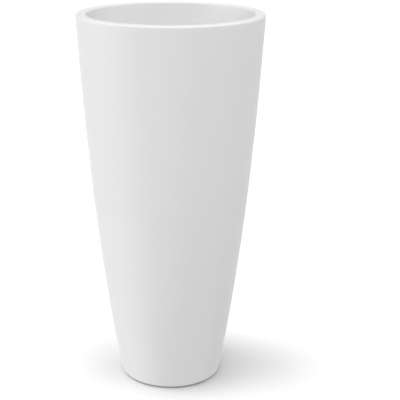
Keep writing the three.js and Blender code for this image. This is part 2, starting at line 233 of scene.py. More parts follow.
def new_piece(name, points, faces, materials, sharp_angle=40.0, slots=None):
    """A mesh object. faces is a list of arrays, with one row of vertex numbers for each face."""
    mesh = bpy.data.meshes.new(name)
    corners = np.concatenate([group.ravel() for group in faces]).astype(np.int32)
    sides = np.concatenate([np.full(len(group), group.shape[1]) for group in faces])
    mesh.vertices.add(len(points))
    mesh.vertices.foreach_set("co", np.ravel(points).astype(np.float32))
    mesh.loops.add(len(corners))
    mesh.loops.foreach_set("vertex_index", corners)
    mesh.polygons.add(len(sides))
    mesh.polygons.foreach_set("loop_start", (np.cumsum(sides) - sides).astype(np.int32))
    for material in materials:
        mesh.materials.append(material)
    if slots is not None:
        mesh.polygons.foreach_set("material_index", slots.astype(np.int32))
    mesh.update(calc_edges=True)
    mesh.validate()
    mesh.shade_smooth()
    mesh.set_sharp_from_angle(angle=math.radians(sharp_angle))
    piece = bpy.data.objects.new(name, mesh)
    scene.collection.objects.link(piece)
    return piece


def shell_profile():
    """The shell's section: underside, foot ring, wall, lip, return, and back down the inside.
    Also gives how many of its points are on the gelcoat face, which ends at the return's foot."""
    recess_ceiling = SHELL_BOTTOM + RECESS_DEPTH
    floor_top = recess_ceiling + SHELL_WALL
    recess_radius = BASE_RADIUS - FOOT_RING_WIDTH
    recess_top_radius = recess_radius - RECESS_DEPTH * slope(RECESS_DRAFT)
    edge_start = SHELL_BOTTOM + BASE_EDGE * (1 - math.sin(math.radians(BASE_LEAN)))
    edge_centre = (wall_radius(edge_start) - BASE_EDGE * math.cos(math.radians(BASE_LEAN)),
                   SHELL_BOTTOM + BASE_EDGE)
    underside = rounded([
        (DRAIN_HOLE_RADIUS, recess_ceiling),
        (recess_top_radius, recess_ceiling, RECESS_EDGE),
        (recess_radius, SHELL_BOTTOM, RECESS_EDGE),
        (edge_centre[0], SHELL_BOTTOM),
    ])
    base_edge = arc(edge_centre, BASE_EDGE, -90, -BASE_LEAN, BASE_EDGE_STEPS)
    edge_z = PLANTER_HEIGHT - LIP_EDGE
    wall_z = np.linspace(edge_start, edge_z, WALL_ROWS)
    wall = np.column_stack([wall_radius(wall_z), wall_z])
    outer_centre = (wall_radius(edge_z) - LIP_EDGE, edge_z)
    inner_centre = (return_radius(edge_z) + LIP_EDGE, edge_z)
    outer_edge = arc(outer_centre, LIP_EDGE, 0, 90, LIP_EDGE_STEPS)
    inner_edge = arc(inner_centre, LIP_EDGE, 90, 180, LIP_EDGE_STEPS)
    return_z = np.linspace(edge_z, RETURN_BOTTOM + RETURN_LOWER_EDGE, RETURN_ROWS)
    return_face = np.column_stack([return_radius(return_z), return_z])
    gelcoat_side = np.vstack([underside, base_edge[1:], wall[1:], outer_edge[1:], inner_edge,
                              return_face[1:]])
    lip_underside = PLANTER_HEIGHT - SHELL_WALL
    back_z = np.linspace(lip_underside, floor_top, BACK_ROWS)
    back = np.column_stack([wall_radius(back_z) - SHELL_WALL, back_z])
    return_back = rounded([
        return_face[-1],
        (return_radius(RETURN_BOTTOM), RETURN_BOTTOM, RETURN_BACK_EDGE),
        (return_radius(RETURN_BOTTOM) + SHELL_WALL, RETURN_BOTTOM, RETURN_BACK_EDGE),
        (return_radius(lip_underside) + SHELL_WALL, lip_underside, LIP_BACK_EDGE),
        (*back[0], LIP_BACK_EDGE),
        back[1],
    ])
    laminate_side = np.vstack([return_back[1:], back[2:], [(DRAIN_HOLE_RADIUS, floor_top)]])
    laminate_side = with_rows(laminate_side, SHELL_ROW)
    return np.vstack([gelcoat_side, laminate_side]), len(gelcoat_side)


class Socket:
    """One output of a shader node. Numbers and other sockets can be added to it, multiplied and so
    on, and each operator adds the node that works the result out."""

    def __init__(self, tree, output=None):
        self.tree = tree
        self.output = output

    def node(self, kind, inputs, out=0, **settings):
        """Adds a node of any kind. Its settings come first, then values or links of its inputs."""
        made = self.tree.nodes.new(kind)
        for name, value in settings.items():
            setattr(made, name, value)
        for name, value in inputs.items():
            self.feed(made.inputs[name], value)
        return Socket(self.tree, made.outputs[out])

    def feed(self, entry, value):
        """Sets an input of a node to a value, or links it to a Socket."""
        if isinstance(value, Socket):
            self.tree.links.new(value.output, entry)
        else:
            entry.default_value = value

    def maths(self, operation, *values):
        """One sum of a maths node, on numbers or sockets."""
        return self.node("ShaderNodeMath", dict(enumerate(values)), operation=operation)

    def __add__(self, other):
        return self.maths("ADD", self, other)

    def __sub__(self, other):
        return self.maths("SUBTRACT", self, other)

    def __rsub__(self, other):
        return self.maths("SUBTRACT", other, self)

    def __mul__(self, other):
        return self.maths("MULTIPLY", self, other)

    __radd__ = __add__

    def between(self, low, high):
        """0 below low and 1 above high, with a smooth step from one to the other."""
        inputs = {"Value": self, "From Min": low, "From Max": high}
        return self.node("ShaderNodeMapRange", inputs, interpolation_type="SMOOTHSTEP")

    def mixed(self, first, second):
        """A colour that goes from first to second as this socket goes from 0 to 1."""
        inputs = {0: self, 6: first, 7: second}
        return self.node("ShaderNodeMix", inputs, out=2, data_type="RGBA")

    def axis(self, letter):
        """X, Y or Z of a vector."""
        return self.node("ShaderNodeSeparateXYZ", {"Vector": self}, out=letter)

    def noise(self, scale, detail=2.0, roughness=0.5):
        """Fractal noise read at this vector, from 0 to 1 and mostly near 0.5."""
        inputs = {"Vector": self, "Scale": scale, "Detail": detail, "Roughness": roughness}
        return self.node("ShaderNodeTexNoise", inputs)

    def stretched(self, x, y, z):
        """This vector with each axis scaled."""
        return self.node("ShaderNodeMapping", {"Vector": self, "Scale": (x, y, z)})


def finish(name, paint, metallic=0.0):
    """A material on the principled shader. paint(place) gets Object coordinates in metres, and
    gives colour, roughness and bump height in metres, each a value or a Socket."""
    material = bpy.data.materials.new(name)
    material.use_nodes = True
    tree = material.node_tree
    shader = next(node for node in tree.nodes if node.type == "BSDF_PRINCIPLED")
    start = Socket(tree)
    colour, roughness, height = paint(start.node("ShaderNodeTexCoord", {}, out="Object"))
    start.feed(shader.inputs["Base Color"], colour)
    start.feed(shader.inputs["Roughness"], roughness)
    shader.inputs["Metallic"].default_value = metallic
    if height is not None:
        bump = start.node("ShaderNodeBump", {"Height": height, "Distance": 1.0})
        start.feed(shader.inputs["Normal"], bump)
    return material


def gelcoat_paint(place):
    """Sprayed white gelcoat: even and neutral, with a very faint cloudiness, a fine orange peel, a
    slow ripple from the mould, and a dark band of painted shade round its lowest few millimetres, where
    the base meets the floor."""
    cloud = place.noise(CLOUD_SCALE, detail=3.0) - 0.5
    speck = place.noise(SPECK_SCALE, detail=1.0) - 0.5
    # The lowest few millimetres are painted dark, and a little rougher: painted shade where the base
    # meets the floor.
    contact_shade = 1 - place.axis("Z").between(SHELL_BOTTOM, SHELL_BOTTOM + BASE_EDGE)
    gelcoat_tone = (0.5 + cloud * 0.9 + speck * 0.3).mixed(GELCOAT_DULL, GELCOAT_PALE)
    orange_peel = place.noise(ORANGE_PEEL_SCALE, detail=2.0) * ORANGE_PEEL_HEIGHT
    ripple = place.noise(RIPPLE_SCALE, detail=1.0) * RIPPLE_HEIGHT
    roughness = GELCOAT_ROUGHNESS + cloud * 0.1 + contact_shade * 0.15
    return contact_shade.mixed(gelcoat_tone, GELCOAT_CONTACT_SHADE), roughness, orange_peel + ripple


def laminate_paint(place):
    """Bare laminate: straw-green resin over chopped strands, glossy in the resin-rich hollows."""
    strands = place.stretched(1.0, 1.0, 0.35).noise(STRAND_SCALE, detail=3.0, roughness=0.7)
    crossing = place.stretched(0.4, 0.4, 1.0).noise(CROSSING_SCALE, detail=3.0, roughness=0.7)
    clumps = place.noise(CLUMP_SCALE, detail=3.0)
    strands_seen = strands.between(STRAND_FAINT, STRAND_FULL)
    crossing_seen = crossing.between(STRAND_FAINT, STRAND_FULL)
    tone = strands_seen * 0.35 + crossing_seen * 0.25 + clumps * 0.4
    height = (strands + crossing) * STRAND_HEIGHT + clumps * CLUMP_HEIGHT
    return tone.mixed(RESIN_DARK, RESIN_PALE), RESIN_ROUGHNESS + strands * 0.35, height


gelcoat = finish("gelcoat", gelcoat_paint)
laminate = finish("laminate", laminate_paint)

shell_section, gelcoat_rows = shell_profile()
shell_points, shell_faces = turned(shell_section, SHELL_SEGMENTS)
on_laminate = np.repeat(np.arange(len(shell_section)) >= gelcoat_rows, SHELL_SEGMENTS)
shell = new_piece("shell_skin", shell_points, shell_faces, [gelcoat, laminate], slots=on_laminate)
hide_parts("outer_shell")
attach(shell, "shell")

# ---- Liner ledge ----
# An angle-section ring of the same glass fibre and resin, laminated round the foot of the return.
# Its flat leg sticks out inwards under the return and carries the liner's flange.

LEDGE_THICKNESS = 0.004
LEDGE_INNER_RADIUS = 0.2025
LEDGE_EDGE = 0.0008
LEDGE_ROOT = 0.003

ledge_low, ledge_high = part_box("liner_ledge")


def ledge_profile():
    """The angle's section, from the inner edge of its flat leg, anticlockwise."""
    bottom, top = ledge_low.z, ledge_high.z
    seat = bottom + LEDGE_THICKNESS
    leg_inner = SHELL_WALL + SEAT_GAP
    leg_outer = leg_inner + LEDGE_THICKNESS
    return rounded([
        (LEDGE_INNER_RADIUS, (bottom + seat) / 2),
        (LEDGE_INNER_RADIUS, bottom, LEDGE_EDGE),
        (return_radius(bottom) + leg_outer, bottom, LEDGE_ROOT),
        (return_radius(top) + leg_outer, top, LEDGE_EDGE),
        (return_radius(top) + leg_inner, top, LEDGE_EDGE),
        (return_radius(seat) + leg_inner, seat),
        (LEDGE_INNER_RADIUS, seat, LEDGE_EDGE),
        (LEDGE_INNER_RADIUS, (bottom + seat) / 2),
    ])[:-1]


ledge_points, ledge_faces = turned(ledge_profile(), SHELL_SEGMENTS)
ledge = new_piece("ledge_ring", ledge_points, ledge_faces, [laminate])
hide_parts("liner_ledge")
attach(ledge, "shell")

# ---- Base board ----
# A disc of marine plywood bonded to the shell's floor. Its face grain runs along X, and its edge
# shows the plies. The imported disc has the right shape, so it only gets its finish.

PLY_THICKNESS = 0.0026
PLYWOOD_DARK = (0.26, 0.15, 0.07, 1)
PLYWOOD_PALE = (0.62, 0.44, 0.25, 1)
PLYWOOD_ROUGHNESS = 0.62
WOOD_GRAIN_SCALE = 160.0
WOOD_GRAIN_STRETCH = 0.05
WOOD_GRAIN_HEIGHT = 0.0002


def plywood_paint(place):
    """Long soft grain on the faces, with darker and lighter plies through the thickness."""
    along_grain = place.stretched(WOOD_GRAIN_STRETCH, 1.0, 1.0)
    grain = along_grain.noise(WOOD_GRAIN_SCALE, detail=4.0, roughness=0.6)
    plies = (place.axis("Z") * (math.pi / PLY_THICKNESS)).maths("SINE")
    colour = (grain * 0.8 + plies * 0.12).mixed(PLYWOOD_DARK, PLYWOOD_PALE)
    return colour, PLYWOOD_ROUGHNESS + grain * 0.15, grain * WOOD_GRAIN_HEIGHT


board = nodes["base_board"].data
board.materials.clear()
board.materials.append(finish("plywood", plywood_paint))

# ---- Drain bush ----
# A flanged sleeve moulded in black plastic, pushed down through board and base. Its flange lies on
# the seal, and the nut below pulls it down.

DRAIN_BORE_RADIUS = 0.012
DRAIN_TUBE_WALL = 0.003
DRAIN_FLANGE_THICKNESS = 0.004
BUSH_EDGE = 0.0006
BUSH_TIP_EDGE = 0.001
BUSH_ROOT = 0.0002
BUSH_RIM_EDGE = 0.0015
SMALL_SEGMENTS = 96
BLACK_PLASTIC_DEEP = (0.018, 0.018, 0.018, 1)
BLACK_PLASTIC_WORN = (0.034, 0.034, 0.034, 1)
BLACK_PLASTIC_ROUGHNESS = 0.42
PLASTIC_MARK_SCALE = 60.0
PLASTIC_GRAIN_SCALE = 1600.0
PLASTIC_GRAIN_HEIGHT = 0.00002


def black_plastic_paint(place):
    """Moulded black plastic: fine matt grain with faint handling marks."""
    marks = place.noise(PLASTIC_MARK_SCALE, detail=3.0)
    grain = place.noise(PLASTIC_GRAIN_SCALE, detail=1.0)
    colour = marks.mixed(BLACK_PLASTIC_DEEP, BLACK_PLASTIC_WORN)
    return colour, BLACK_PLASTIC_ROUGHNESS + marks * 0.2, grain * PLASTIC_GRAIN_HEIGHT


black_plastic = finish("black_plastic", black_plastic_paint)

bush_low, bush_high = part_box("drain_bush")
bush_tube_radius = DRAIN_BORE_RADIUS + DRAIN_TUBE_WALL
bush_flange_bottom = bush_high.z - DRAIN_FLANGE_THICKNESS
bush_middle = (bush_low.z + bush_high.z) / 2
bush_points, bush_faces = turned(rounded([
    (DRAIN_BORE_RADIUS, bush_middle),
    (DRAIN_BORE_RADIUS, bush_low.z, BUSH_EDGE),
    (bush_tube_radius, bush_low.z, BUSH_TIP_EDGE),
    (bush_tube_radius, bush_flange_bottom, BUSH_ROOT),
    (bush_high.x, bush_flange_bottom, BUSH_EDGE),
    (bush_high.x, bush_high.z, BUSH_RIM_EDGE),
    (DRAIN_BORE_RADIUS, bush_high.z, BUSH_TIP_EDGE),
    (DRAIN_BORE_RADIUS, bush_middle),
])[:-1], SMALL_SEGMENTS)
bush = new_piece("drain_sleeve", bush_points, bush_faces, [black_plastic])
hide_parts("drain_bush")
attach(bush, "shell")

# ---- Drain seal ----
# A flat rubber washer stamped from sheet. It lies on the board under the bush's flange, which the
# nut pulls down on it.

SEAL_EDGE = 0.0008
RUBBER_BLACK = (0.014, 0.014, 0.014, 1)
RUBBER_BLOOM = (0.042, 0.042, 0.041, 1)
RUBBER_ROUGHNESS = 0.78
BLOOM_SCALE = 85.0
BLOOM_FAINT = 0.45           # noise from which the bloom starts to show, and shows in full
BLOOM_FULL = 0.75
RUBBER_GRAIN_SCALE = 1100.0
RUBBER_GRAIN_HEIGHT = 0.00004


def rubber_paint(place):
    """Matt black rubber with a pale bloom in patches."""
    bloom = place.noise(BLOOM_SCALE, detail=4.0).between(BLOOM_FAINT, BLOOM_FULL)
    grain = place.noise(RUBBER_GRAIN_SCALE, detail=2.0)
    colour = bloom.mixed(RUBBER_BLACK, RUBBER_BLOOM)
    return colour, RUBBER_ROUGHNESS + bloom * 0.12, grain * RUBBER_GRAIN_HEIGHT


rubber = finish("rubber", rubber_paint)

seal_low, seal_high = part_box("drain_seal")
seal_middle = (seal_low.z + seal_high.z) / 2
seal_points, seal_faces = turned(rounded([
    (DRAIN_HOLE_RADIUS, seal_middle),
    (DRAIN_HOLE_RADIUS, seal_low.z, SEAL_EDGE / 2),
    (seal_high.x, seal_low.z, SEAL_EDGE),
    (seal_high.x, seal_high.z, SEAL_EDGE),
    (DRAIN_HOLE_RADIUS, seal_high.z, SEAL_EDGE / 2),
    (DRAIN_HOLE_RADIUS, seal_middle),
])[:-1], SMALL_SEGMENTS)
seal = new_piece("drain_washer", seal_points, seal_faces, [rubber])
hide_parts("drain_seal")
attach(seal, "shell")

# ---- Drain nut ----
# A hexagonal back nut of the same black plastic, screwed up the bush from below against the
# shell's base. Its corners are chamfered at both faces.

NUT_CHAMFER = 0.0016
NUT_FACE_SHARE = 0.94        # of the distance from axis to flat
NUT_SHARP_ANGLE = 25.0

nut_low, nut_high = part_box("drain_nut")
nut_corner = max(nut_high.x, nut_high.y)
nut_flat = min(nut_high.x, nut_high.y)
nut_turn = 0.0 if nut_high.x > nut_high.y else math.pi / 6
nut_face = nut_flat * NUT_FACE_SHARE


def on_hexagon(radius, turn):
    """Cuts radii back to a hexagon: the distance from axis to flat / cos(angle from the middle
    of the nearest flat)."""
    from_flat = (turn - nut_turn) % (math.pi / 3) - math.pi / 6
    return np.minimum(radius, nut_flat / np.cos(from_flat))


nut_middle = (nut_low.z + nut_high.z) / 2
nut_points, nut_faces = turned(with_rows(rounded([
    (DRAIN_HOLE_RADIUS, nut_middle),
    (DRAIN_HOLE_RADIUS, nut_low.z, NUT_CHAMFER / 2),
    (nut_face, nut_low.z, NUT_CHAMFER / 4),
    (nut_corner, nut_low.z + NUT_CHAMFER),
    (nut_corner, nut_high.z - NUT_CHAMFER),
    (nut_face, nut_high.z, NUT_CHAMFER / 4),
    (DRAIN_HOLE_RADIUS, nut_high.z, NUT_CHAMFER / 2),
    (DRAIN_HOLE_RADIUS, nut_middle),
]), NUT_CHAMFER / 3)[:-1], SMALL_SEGMENTS, squeeze=on_hexagon)
nut = new_piece("back_nut", nut_points, nut_faces, [black_plastic],
                sharp_angle=NUT_SHARP_ANGLE)
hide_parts("drain_nut")
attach(nut, "shell")

# ---- Bung ----
# A tapered rubber plug that closes the bush from above. Its head lies on the bush's flange, and an
# upright loop, moulded in one with it, is what a finger pulls.

BUNG_HEAD_THICKNESS = 0.004
BUNG_LOOP_RADIUS = 0.009
BUNG_LOOP_THICKNESS = 0.005
BUNG_TAPER = 1.5             # degrees from upright
BUNG_TIP_EDGE = 0.002
BUNG_ROOT = 0.0004
BUNG_SEAT_EDGE = 0.0006
BUNG_HEAD_EDGE = 0.0018
BUNG_LOOP_STEPS = 64
BUNG_LOOP_SIDES = 24

bung_low, bung_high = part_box("drain_bung")
bung_seat = bush_high.z + SEAT_GAP
bung_head_top = bung_seat + BUNG_HEAD_THICKNESS
bung_plug_radius = DRAIN_BORE_RADIUS - SEAT_GAP
bung_tip_radius = bung_plug_radius - (bung_seat - bung_low.z) * slope(BUNG_TAPER)
bung_head_radius = bung_high.x


def ring_section(radius, sides):
    """Points round a circle, anticlockwise: radius * (cos, sin)."""
    return arc((0, 0), radius, 0, 360, sides)[:-1]


def carried(path, section, across, scale=1.0, closed=False):
    """A closed section carried along a path in the plane square to the vector across. The section
    point (u, v) lies at path + scale * (u * across + v * normal), where normal is the path's
    direction x across. Flat faces close the ends, unless the path is closed."""
    across = np.asarray(across, float)
    if closed:
        along = np.roll(path, -1, axis=0) - np.roll(path, 1, axis=0)
    else:
        along = np.gradient(path, axis=0)
    along /= np.linalg.norm(along, axis=1, keepdims=True)
    normal = np.cross(along, across)[:, None]
    u, v = section[:, :1], section[:, 1:]
    size = np.broadcast_to(scale, len(path))[:, None, None]
    points = (path[:, None] + size * (u * across + v * normal)).reshape(-1, 3)
    count = len(section)
    faces = [grid_faces(len(path), count, closed, True)]
    if not closed:
        start_face = np.arange(count)[None, ::-1]
        end_face = np.arange(len(points) - count, len(points))[None]
        faces += [start_face, end_face]
    return points, faces


def merged(piece, tool, operation, sharp_angle=40.0):
    """Joins a tool piece to a piece, or cuts it out, and deletes the tool."""
    modifier = piece.modifiers.new(operation, "BOOLEAN")
    modifier.operation = operation
    modifier.solver = "EXACT"
    modifier.object = tool
    graph = bpy.context.evaluated_depsgraph_get()
    made = bpy.data.meshes.new_from_object(piece.evaluated_get(graph))
    piece.modifiers.clear()
    piece.data = made
    made.set_sharp_from_angle(angle=math.radians(sharp_angle))
    bpy.data.objects.remove(tool)


bung_points, bung_faces = turned(rounded([
    (0, bung_low.z),
    (bung_tip_radius, bung_low.z, BUNG_TIP_EDGE),
    (bung_plug_radius, bung_seat, BUNG_ROOT),
    (bung_head_radius, bung_seat, BUNG_SEAT_EDGE),
    (bung_head_radius, bung_head_top, BUNG_HEAD_EDGE),
    (0, bung_head_top),
]), SMALL_SEGMENTS)
bung = new_piece("bung", bung_points, bung_faces, [rubber])
loop_centre_z = bung_high.z - BUNG_LOOP_THICKNESS / 2 - BUNG_LOOP_RADIUS
loop_ring = arc((0, loop_centre_z), BUNG_LOOP_RADIUS, 0, 360, BUNG_LOOP_STEPS)[:-1]
loop_path = np.column_stack([loop_ring[:, 0], np.zeros(len(loop_ring)), loop_ring[:, 1]])
loop_section = ring_section(BUNG_LOOP_THICKNESS / 2, BUNG_LOOP_SIDES)
loop_points, loop_faces = carried(loop_path, loop_section, (0, 1, 0), closed=True)
pull_loop = new_piece("pull_loop", loop_points, loop_faces, [rubber])
merged(bung, pull_loop, "UNION")
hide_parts("drain_bung")
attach(bung, "bung")

# ---- Feet ----
# Four rubber pads in the recess. They reach 2 mm below the foot ring and so leave a thin dark gap
# under the planter. Each has a counterbore for its screw.

FOOT_CHAMFER = 0.002
FOOT_EDGE = 0.0008
FOOT_COUNTERBORE_RADIUS = 0.0062
FOOT_COUNTERBORE_DEPTH = 0.008
FOOT_SCREW_HOLE_RADIUS = 0.0025
CORNERS = ("front_left", "front_right", "back_left", "back_right")

for corner in CORNERS:
    foot_low, foot_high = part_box(f"foot_{corner}")
    foot_centre = ((foot_low.x + foot_high.x) / 2, (foot_low.y + foot_high.y) / 2)
    foot_radius = (foot_high.x - foot_low.x) / 2
    foot_points, foot_faces = turned(rounded([
        (FOOT_COUNTERBORE_RADIUS, FOOT_COUNTERBORE_DEPTH / 2),
        (FOOT_COUNTERBORE_RADIUS, 0, FOOT_EDGE),
        (foot_radius - FOOT_CHAMFER, 0, FOOT_EDGE),
        (foot_radius, FOOT_CHAMFER, FOOT_EDGE),
        (foot_radius, foot_high.z, FOOT_EDGE),
        (FOOT_SCREW_HOLE_RADIUS, foot_high.z, FOOT_EDGE / 2),
        (FOOT_SCREW_HOLE_RADIUS, FOOT_COUNTERBORE_DEPTH, FOOT_EDGE / 2),
        (FOOT_COUNTERBORE_RADIUS, FOOT_COUNTERBORE_DEPTH, FOOT_EDGE),
        (FOOT_COUNTERBORE_RADIUS, FOOT_COUNTERBORE_DEPTH / 2),
    ])[:-1], SMALL_SEGMENTS, foot_centre)
    foot = new_piece(f"foot_pad_{corner}", foot_points, foot_faces, [rubber])
    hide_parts(f"foot_{corner}")
    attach(foot, "shell")

# ---- Foot screws ----
# A zinc-plated pan-head screw with a cross recess goes up through each foot and the shell's base
# into the board.

SCREW_RADIUS = 0.0022
SCREW_HEAD_HEIGHT = 0.0032
SCREW_HEAD_EDGE = 0.0012
SCREW_NECK_EDGE = 0.0003
SCREW_FACE_SHARE = 0.6       # of the head's radius
CROSS_REACH = 0.0022
CROSS_HALF_WIDTH = 0.0005
CROSS_DEPTH = 0.0014
CROSS_FLOOR_SHARE = 0.8      # of the cross's reach
CROSS_MARGIN = 1e-6
ZINC_DARK = (0.50, 0.52, 0.55, 1)
ZINC_PALE = (0.66, 0.68, 0.69, 1)
ZINC_ROUGHNESS = 0.24
ZINC_CLOUD_SCALE = 70.0
ZINC_GRAIN_SCALE = 900.0
ZINC_GRAIN_HEIGHT = 0.00001


def zinc_paint(place):
    """Bright zinc plating: a cool silver with cloudy patches and a fine grain."""
    cloud = place.noise(ZINC_CLOUD_SCALE, detail=4.0)
    grain = place.noise(ZINC_GRAIN_SCALE, detail=2.0)
    return cloud.mixed(ZINC_DARK, ZINC_PALE), ZINC_ROUGHNESS + cloud * 0.2, grain * ZINC_GRAIN_HEIGHT


zinc = finish("zinc_plate", zinc_paint, metallic=1.0)


def on_cross(radius, turn):
    """Cuts the small radii back to a cross: half-width / the smaller of |sin| and |cos|."""
    nearest_arm = np.minimum(np.abs(np.sin(turn)), np.abs(np.cos(turn)))
    arm = CROSS_HALF_WIDTH / np.maximum(nearest_arm, CROSS_MARGIN)
    return np.where(radius > CROSS_REACH + CROSS_MARGIN, radius, np.minimum(radius, arm))


for corner in CORNERS:
    screw_low, screw_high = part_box(f"foot_screw_{corner}")
    screw_centre = ((screw_low.x + screw_high.x) / 2, (screw_low.y + screw_high.y) / 2)
    head_radius = (screw_high.y - screw_low.y) / 2
    recess_z = screw_low.z + CROSS_DEPTH
    neck_z = screw_low.z + SCREW_HEAD_HEIGHT
    screw_points, screw_faces = turned(rounded([
        (0, recess_z),
        (CROSS_REACH * CROSS_FLOOR_SHARE, recess_z),
        (CROSS_REACH, screw_low.z),
        (head_radius * SCREW_FACE_SHARE, screw_low.z, SCREW_HEAD_EDGE),
        (head_radius, screw_low.z + SCREW_HEAD_HEIGHT / 2, SCREW_HEAD_EDGE),
        (head_radius, neck_z, SCREW_NECK_EDGE),
        (SCREW_RADIUS, neck_z, SCREW_NECK_EDGE),
        (SCREW_RADIUS, screw_high.z - 2 * SCREW_RADIUS, SCREW_RADIUS / 2),
        (0, screw_high.z),
    ]), SMALL_SEGMENTS, screw_centre, squeeze=on_cross)
    screw = new_piece(f"screw_{corner}", screw_points, screw_faces, [zinc])
    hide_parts(f"foot_screw_{corner}")
    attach(screw, "shell")

# ---- Liner pot ----
# A pot injection moulded in natural white polypropylene: a flange that hangs on the ledge, a
# tapered wall, and a floor with drain holes inside a foot ring.

LINER_WALL = 0.003
LINER_DRAFT = 3.7            # degrees from upright
LINER_FOOT_HEIGHT = 0.006
LINER_FOOT_WIDTH = 0.012
LINER_EDGE = 0.005
LINER_FLOOR_CORNER = 0.006
LINER_LIP_EDGE = 0.0008
LINER_FOOT_ROOT = 0.0015
LINER_RIM_EDGE = 0.0012
LINER_MOUTH_EDGE = 0.0022
LINER_MOUTH_MARGIN = 0.002
LINER_HOLE_RADIUS = 0.006
LINER_HOLE_COUNT = 8
LINER_HOLE_INSET = 0.045
LINER_ROW = 0.02
PIN_PROUD = 0.002
RIVET_HOLE_RADIUS = 0.0019
DRILL_MARGIN = 0.002
NATURAL_WHITE = (0.88, 0.88, 0.88, 1)
NATURAL_WHITE_FLOW = (0.82, 0.82, 0.82, 1)
LINER_ROUGHNESS = 0.48
FLOW_SCALE = 14.0
FLOW_HEIGHT = 0.0002
LINER_GRAIN_SCALE = 1300.0
LINER_GRAIN_HEIGHT = 0.00003


def liner_paint(place):
    """Natural white polypropylene: finely grained and a little uneven, with long upright flow
    marks."""
    flow = place.stretched(1.0, 1.0, 0.15).noise(FLOW_SCALE, detail=3.0)
    grain = place.noise(LINER_GRAIN_SCALE, detail=1.0)
    colour = flow.mixed(NATURAL_WHITE_FLOW, NATURAL_WHITE)
    height = grain * LINER_GRAIN_HEIGHT + flow * FLOW_HEIGHT
    return colour, LINER_ROUGHNESS + flow * 0.12, height


liner_plastic = finish("liner_plastic", liner_paint)

liner_low, liner_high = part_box("liner_pot")
flange_top = liner_high.z
flange_bottom = flange_top - LINER_WALL
flange_radius = liner_high.x
saddle_low, saddle_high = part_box("handle_saddle_right")
saddle_x = (saddle_low.x + saddle_high.x) / 2
pin_end_x = saddle_low.x - PIN_PROUD
mouth_radius = pin_end_x - LINER_MOUTH_MARGIN
rivet_low, rivet_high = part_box("handle_rivet_right_3")
outer_rivet_y = (rivet_low.y + rivet_high.y) / 2
rivet_ys = (-outer_rivet_y, 0.0, outer_rivet_y)


def liner_radius(z):
    """The liner's outer radius below its flange, a straight line with the mould's draft."""
    return mouth_radius + LINER_WALL - (flange_bottom - z) * slope(LINER_DRAFT)


def liner_profile():
    """The pot's section: underside, foot ring, outer wall, flange, inner wall and floor. Its long
    walls get a row of points every two centimetres."""
    floor_underside = liner_low.z + LINER_FOOT_HEIGHT
    floor_top = floor_underside + LINER_WALL
    foot_inner = liner_radius(liner_low.z) - LINER_FOOT_WIDTH
    return with_rows(rounded([
        (0, floor_underside),
        (foot_inner, floor_underside, LINER_FOOT_ROOT),
        (foot_inner, liner_low.z, LINER_LIP_EDGE),
        (liner_radius(liner_low.z), liner_low.z, LINER_EDGE),
        (liner_radius(flange_bottom), flange_bottom, LINER_LIP_EDGE),
        (flange_radius, flange_bottom, LINER_LIP_EDGE),
        (flange_radius, flange_top, LINER_RIM_EDGE),
        (mouth_radius, flange_top, LINER_MOUTH_EDGE),
        (liner_radius(floor_top) - LINER_WALL, floor_top, LINER_FLOOR_CORNER),
        (0, floor_top),
    ]), LINER_ROW)


def drill(name, holes, bottom, top, segments=32):
    """One tool of upright cylinders from bottom to top, one for each row (x, y, radius): a rod of
    radius 1 and height 1 is scaled and moved to each hole."""
    rod, rod_faces = turned([(0, 0), (1, 0), (1, 1), (0, 1)], segments)
    x, y, radius = np.array(holes).T[..., None]
    level = np.broadcast_to(bottom + (top - bottom) * rod[:, 2], (len(holes), len(rod)))
    points = np.stack([x + radius * rod[:, 0], y + radius * rod[:, 1], level], axis=-1)
    points = points.reshape(-1, 3)
    offset = len(rod) * np.arange(len(holes))[:, None, None]
    faces = [(group + offset).reshape(-1, group.shape[1]) for group in rod_faces]
    return new_piece(name, points, faces, [])


liner_points, liner_faces = turned(liner_profile(), SHELL_SEGMENTS)
liner = new_piece("liner", liner_points, liner_faces, [liner_plastic])
hole_circle = liner_radius(liner_low.z) - LINER_HOLE_INSET
hole_turns = 2 * math.pi * np.arange(LINER_HOLE_COUNT) / LINER_HOLE_COUNT
drain_holes = np.column_stack([hole_circle * np.cos(hole_turns), hole_circle * np.sin(hole_turns),
                               np.full(LINER_HOLE_COUNT, LINER_HOLE_RADIUS)])
rivet_holes = [(side * saddle_x, y, RIVET_HOLE_RADIUS) for side in (-1, 1) for y in rivet_ys]
floor_reach = LINER_FOOT_HEIGHT + LINER_WALL + DRILL_MARGIN
drain_drill = drill("drain_drill", drain_holes, liner_low.z, liner_low.z + floor_reach)
merged(liner, drain_drill, "DIFFERENCE")
rivet_drill = drill("rivet_drill", rivet_holes, flange_bottom - DRILL_MARGIN, flange_top + DRILL_MARGIN)
merged(liner, rivet_drill, "DIFFERENCE")
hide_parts("liner_pot")
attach(liner, "liner")

# ---- Bails ----
# Two half-round handles of 5 mm zinc-plated wire. Their ends are bent inwards as pins that turn
# under the saddles, and at rest the bails lie on the liner's flange.

WIRE_RADIUS = 0.0025
WIRE_BEND = 0.004
WIRE_TIP_SHARE = 0.7         # of the wire's radius, where its cut ends are ground round
WIRE_TIP_LENGTH = 0.0009
WIRE_SIDES = 24
BAIL_STEPS = 160
BEND_POINTS = 13
TIP_POINTS = 5

bail_low, bail_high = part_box("handle_back")
wire_level = (bail_low.z + bail_high.z) / 2
wire_arc_radius = bail_high.y - WIRE_RADIUS
back_fold = next(joint for joint in frame["joints"] if joint["name"] == "back_handle_fold")
pivot_y = back_fold["pos_m"][1]
wire_corner_x = math.sqrt(wire_arc_radius**2 - pivot_y**2)


